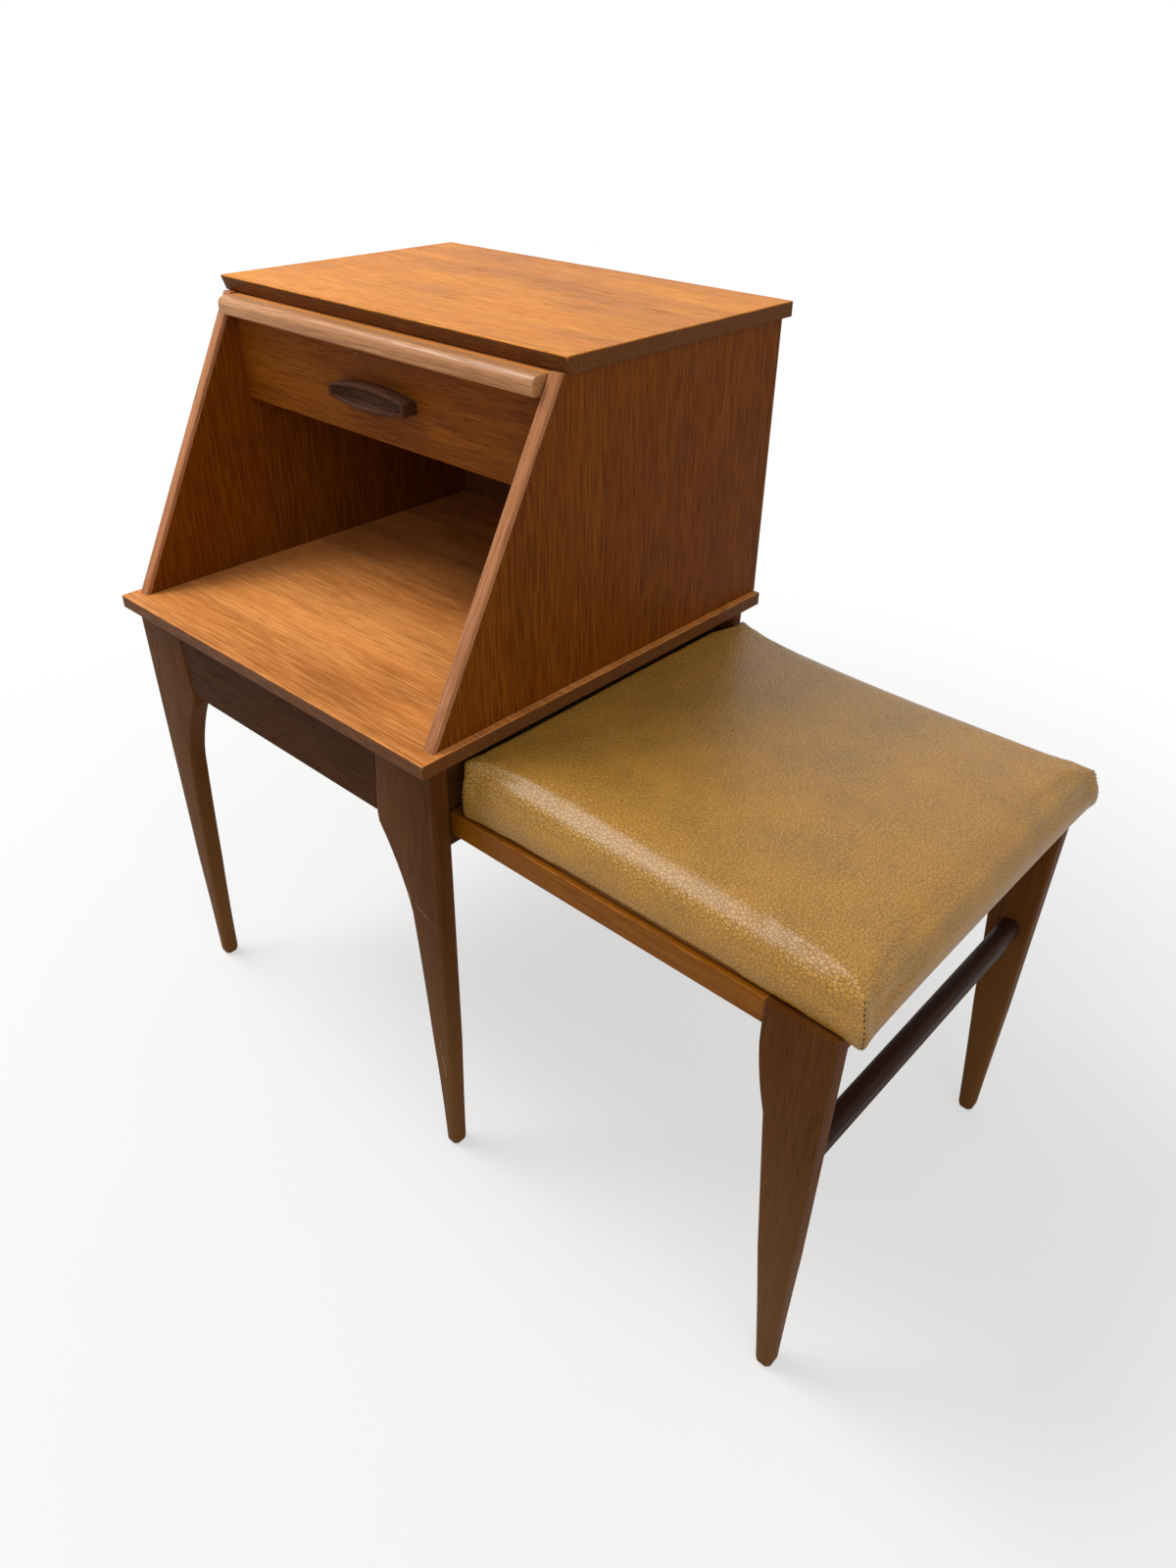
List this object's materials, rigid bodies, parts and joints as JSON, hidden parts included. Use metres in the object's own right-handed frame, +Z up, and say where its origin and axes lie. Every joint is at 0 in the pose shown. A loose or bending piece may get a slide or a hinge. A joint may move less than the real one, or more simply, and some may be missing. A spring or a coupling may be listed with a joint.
{
  "type": "telephone bench",
  "caption": "Wooden telephone seat: a cabinet with a drawer, a pull-out writing slide and an open shelf, joined to a padded seat on tapered legs.",
  "frame": {"origin": "centre of the whole object's box in plan, at floor height", "axes": "+X from the cabinet towards the seat, -Y towards the front where the drawer opens, +Z up"},
  "size_m": [0.788, 0.434, 0.714],
  "materials": {
    "teak_veneer": "satin oiled veneer",
    "teak_lipping": "satin oiled",
    "teak_frame": "satin stained",
    "dark_teak": "satin stained",
    "plywood": "bare",
    "pale_hardwood": "bare",
    "seat_vinyl": "grained, satin",
    "screw_steel": "plated"
  },
  "bodies": {
    "bench": {"top_board": "teak_veneer", "side_panel_left": "teak_veneer", "side_panel_right": "teak_veneer", "side_lipping_left": "teak_lipping", "side_lipping_right": "teak_lipping", "back_panel": "plywood", "shelf_board": "teak_veneer", "carcase_pegs": "pale_hardwood", "slide_guide_left": "pale_hardwood", "slide_guide_right": "pale_hardwood", "slide_cross_rail": "pale_hardwood", "drawer_runner_left": "pale_hardwood", "drawer_runner_right": "pale_hardwood", "leg_front_left": "teak_frame", "leg_front_right": "teak_frame", "leg_back_left": "teak_frame", "leg_back_right": "teak_frame", "apron_front": "teak_frame", "apron_back": "teak_frame", "side_apron_left": "teak_frame", "side_apron_right": "teak_frame", "corner_blocks": "pale_hardwood", "block_screws": "screw_steel", "apron_dowels": "pale_hardwood", "stretcher": "dark_teak", "seat_leg_front": "teak_frame", "seat_leg_back": "teak_frame", "seat_rail_front": "teak_frame", "seat_rail_back": "teak_frame", "seat_end_rail": "teak_frame", "seat_dowels": "pale_hardwood", "seat_base": "plywood", "seat_cushion": "seat_vinyl", "seat_screws": "screw_steel"},
    "drawer": {"drawer_front": "teak_veneer", "drawer_side_left": "pale_hardwood", "drawer_side_right": "pale_hardwood", "drawer_back": "pale_hardwood", "drawer_bottom": "plywood", "drawer_handle": "dark_teak", "handle_screws": "screw_steel"},
    "writing_slide": {"slide_board": "teak_veneer", "slide_nosing": "teak_lipping", "slide_stop_pins": "pale_hardwood"}
  },
  "joints": [
    {"name": "drawer_slide", "type": "slide", "parent": "bench", "child": "drawer", "axis": [0, -1, 0], "range_m": [0, 0.17]},
    {"name": "writing_slide_pull", "type": "slide", "parent": "bench", "child": "writing_slide", "axis": [0, -1, 0], "range_m": [0, 0.185]}
  ]
}
